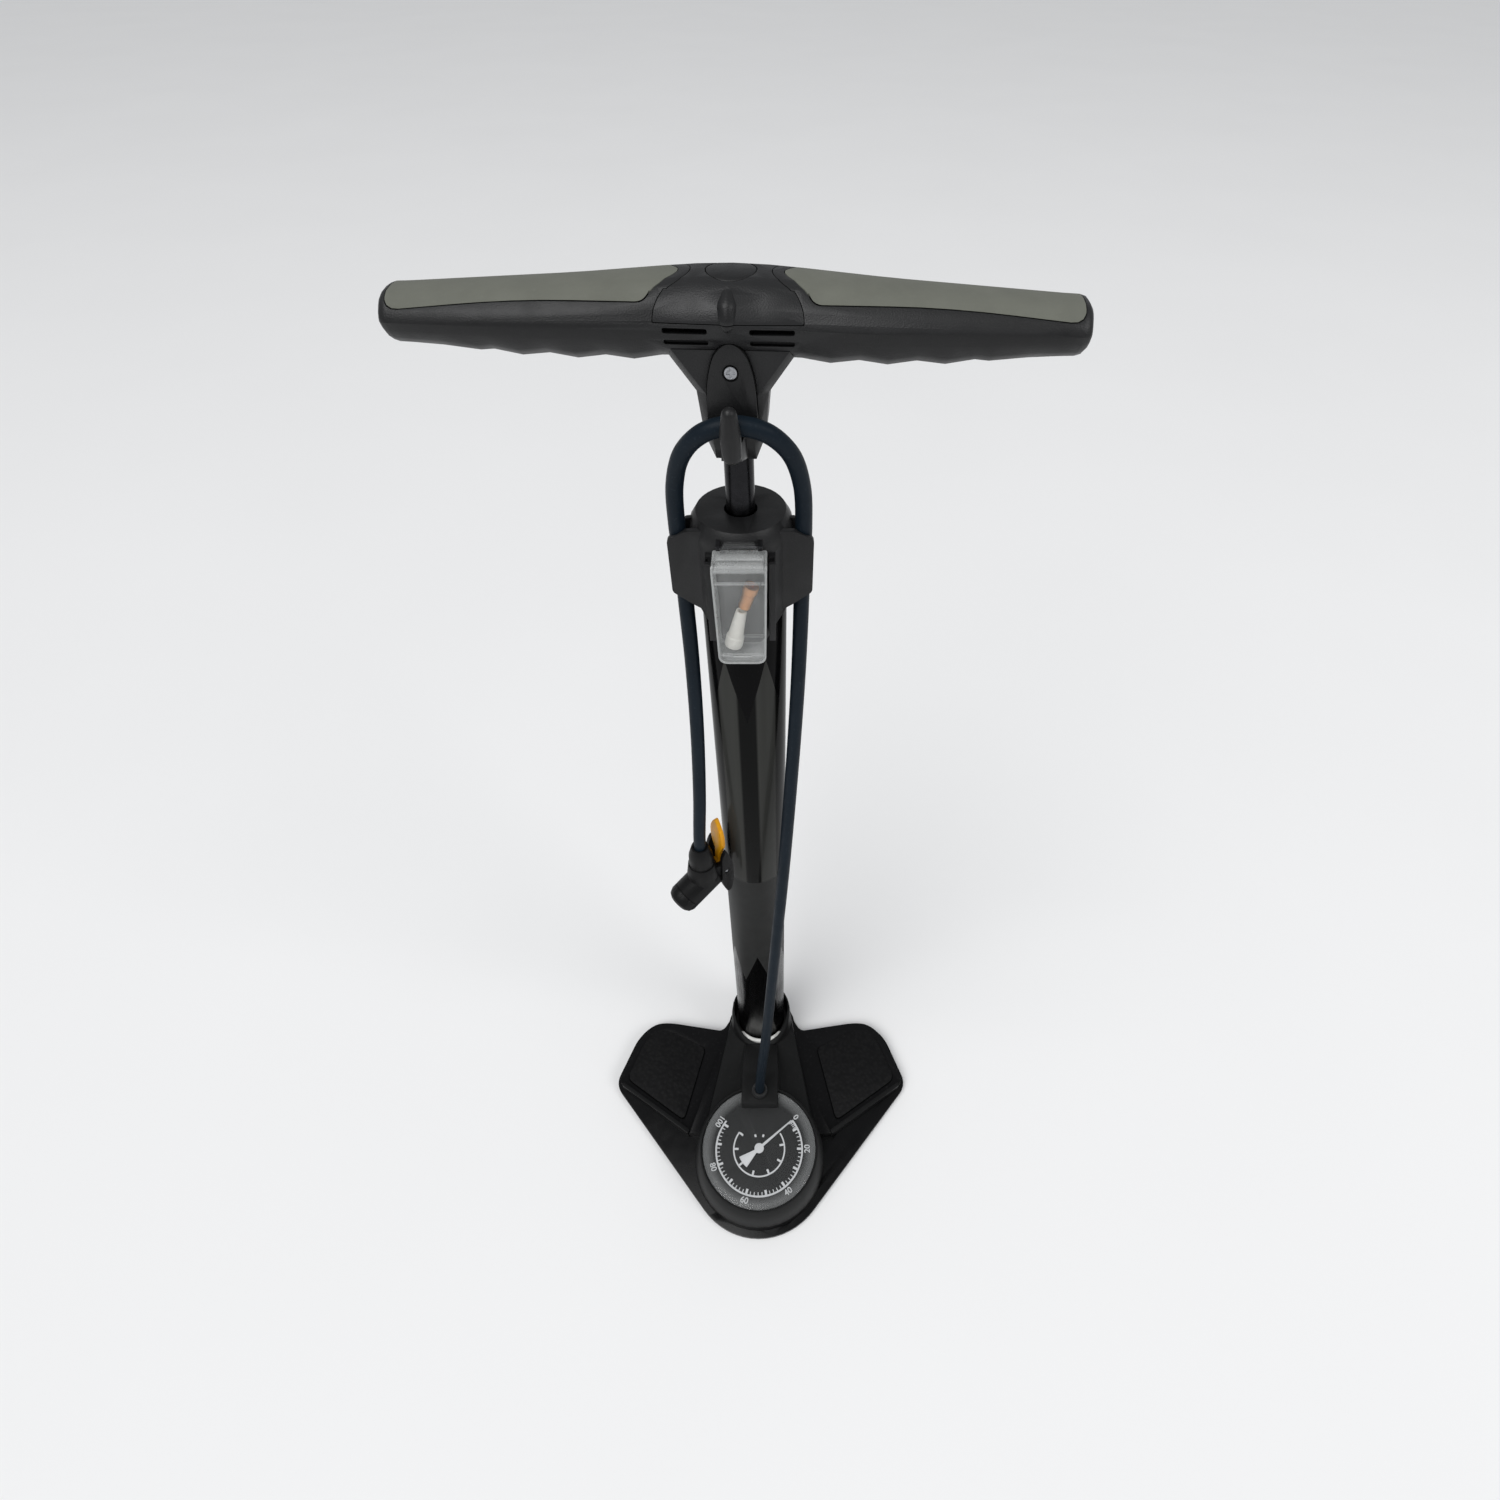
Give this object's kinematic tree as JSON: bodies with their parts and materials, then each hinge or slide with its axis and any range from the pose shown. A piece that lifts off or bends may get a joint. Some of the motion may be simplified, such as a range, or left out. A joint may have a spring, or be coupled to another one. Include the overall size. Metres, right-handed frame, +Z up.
{
  "type": "bicycle floor pump",
  "caption": "Upright hand pump with a three-cornered foot, round gauge, T handle, parked hose with lever head and an accessory case on its cap.",
  "frame": {"origin": "on the floor under the middle of the barrel", "axes": "+Z up along the barrel, -Y towards the gauge, +X to the right as seen from the gauge"},
  "size_m": [0.2386, 0.1903, 0.6086],
  "materials": {
    "nylon": "moulded fine grain",
    "plate_black": "glossy moulded",
    "tread": "coarse grain, satin",
    "rubber": "matt",
    "steel": "bright zinc plated",
    "brass": "turned",
    "dial": "printed, satin",
    "needle_white": "satin",
    "clear": "clear polished",
    "barrel_black": "gloss enamel with a satin band",
    "white_ring": "satin",
    "hose_rubber": "smooth satin",
    "cream": "moulded",
    "frosted": "translucent moulded",
    "rod_black": "black oxide, oiled",
    "grip_rubber": "soft matt",
    "lever_yellow": "moulded satin"
  },
  "bodies": {
    "pump_body": {"barrel_plug": "nylon", "air_duct": "nylon", "hose_port": "nylon", "barrel_cap": "nylon", "head_body": "nylon", "nozzle_cap": "nylon", "hose_ferrule": "nylon", "base_housing": "nylon", "base_plate": "plate_black", "tread_pad_right": "tread", "tread_pad_left": "tread", "foot_right": "rubber", "foot_left": "rubber", "foot_front": "rubber", "foot_centre": "rubber", "rod_wiper": "rubber", "nozzle_grommet": "rubber", "base_screw_right": "steel", "base_screw_left": "steel", "base_screw_front_right": "steel", "base_screw_front_left": "steel", "gauge_case": "steel", "sector_pivot": "steel", "valve_spring": "steel", "lid_pin": "steel", "lever_pin": "steel", "bourdon_tube": "brass", "valve_adapter": "brass", "gauge_dial": "dial", "gauge_lens": "clear", "barrel": "barrel_black", "seal_ring": "white_ring", "hose": "hose_rubber", "cap_bush": "cream", "cone_adapter": "cream", "case_tray": "frosted"},
    "check_valve": {"valve_disc": "rubber"},
    "case_lid": {"case_lid": "frosted"},
    "lever": {"head_lever": "lever_yellow"},
    "plunger": {"head_plunger": "nylon"},
    "needle": {"gauge_needle": "needle_white", "needle_spindle": "brass"},
    "sector": {"gauge_sector": "brass"},
    "rod": {"piston_rod": "rod_black", "piston": "nylon", "piston_seal": "rubber", "piston_bolt": "steel", "rod_bumper": "rubber", "handle_body": "nylon", "handle_cover": "nylon", "cover_plug": "nylon", "grip_insert_left": "grip_rubber", "grip_insert_right": "grip_rubber", "hook_plate": "nylon", "plate_screw": "steel", "handle_bolt": "steel"}
  },
  "joints": [
    {"name": "rod_slide", "type": "slide", "parent": "pump_body", "child": "rod", "axis": [0, 0, 1], "range_m": [0, 0.42]},
    {"name": "valve_lift", "type": "slide", "parent": "pump_body", "child": "check_valve", "axis": [0, 0, -1], "range_m": [0, 0.003], "stiffness_N_per_m": 20, "springref_m": -0.002, "deforming": ["valve_spring"]},
    {"name": "lid_hinge", "type": "hinge", "parent": "pump_body", "child": "case_lid", "pos_m": [0, -0.0236, 0.5173], "axis": [-1, 0, 0], "range_deg": [0, 110]},
    {"name": "lever_hinge", "type": "hinge", "parent": "pump_body", "child": "lever", "pos_m": [-0.02053, -0.01796, 0.2905], "axis": [-0.5962, 0.8028, 0], "range_deg": [0, 7]},
    {"name": "plunger_slide", "type": "slide", "parent": "pump_body", "child": "plunger", "axis": [-0.7022, -0.5214, -0.4848], "range_m": [0, 0.0006]},
    {"name": "needle_turn", "type": "hinge", "parent": "pump_body", "child": "needle", "pos_m": [0, -0.106, 0.031], "axis": [0, 0, -1], "range_deg": [0, 257], "stiffness_Nm_per_rad": 0.0005},
    {"name": "sector_turn", "type": "hinge", "parent": "pump_body", "child": "sector", "pos_m": [0, -0.091, 0.0207], "axis": [0, 0, -1], "range_deg": [-41, 0]}
  ],
  "couplings": [
    {"joint": "sector_turn", "follows": "needle_turn", "ratio": -0.15625},
    {"joint": "plunger_slide", "follows": "lever_hinge", "m_per_rad": 0.0025}
  ]
}
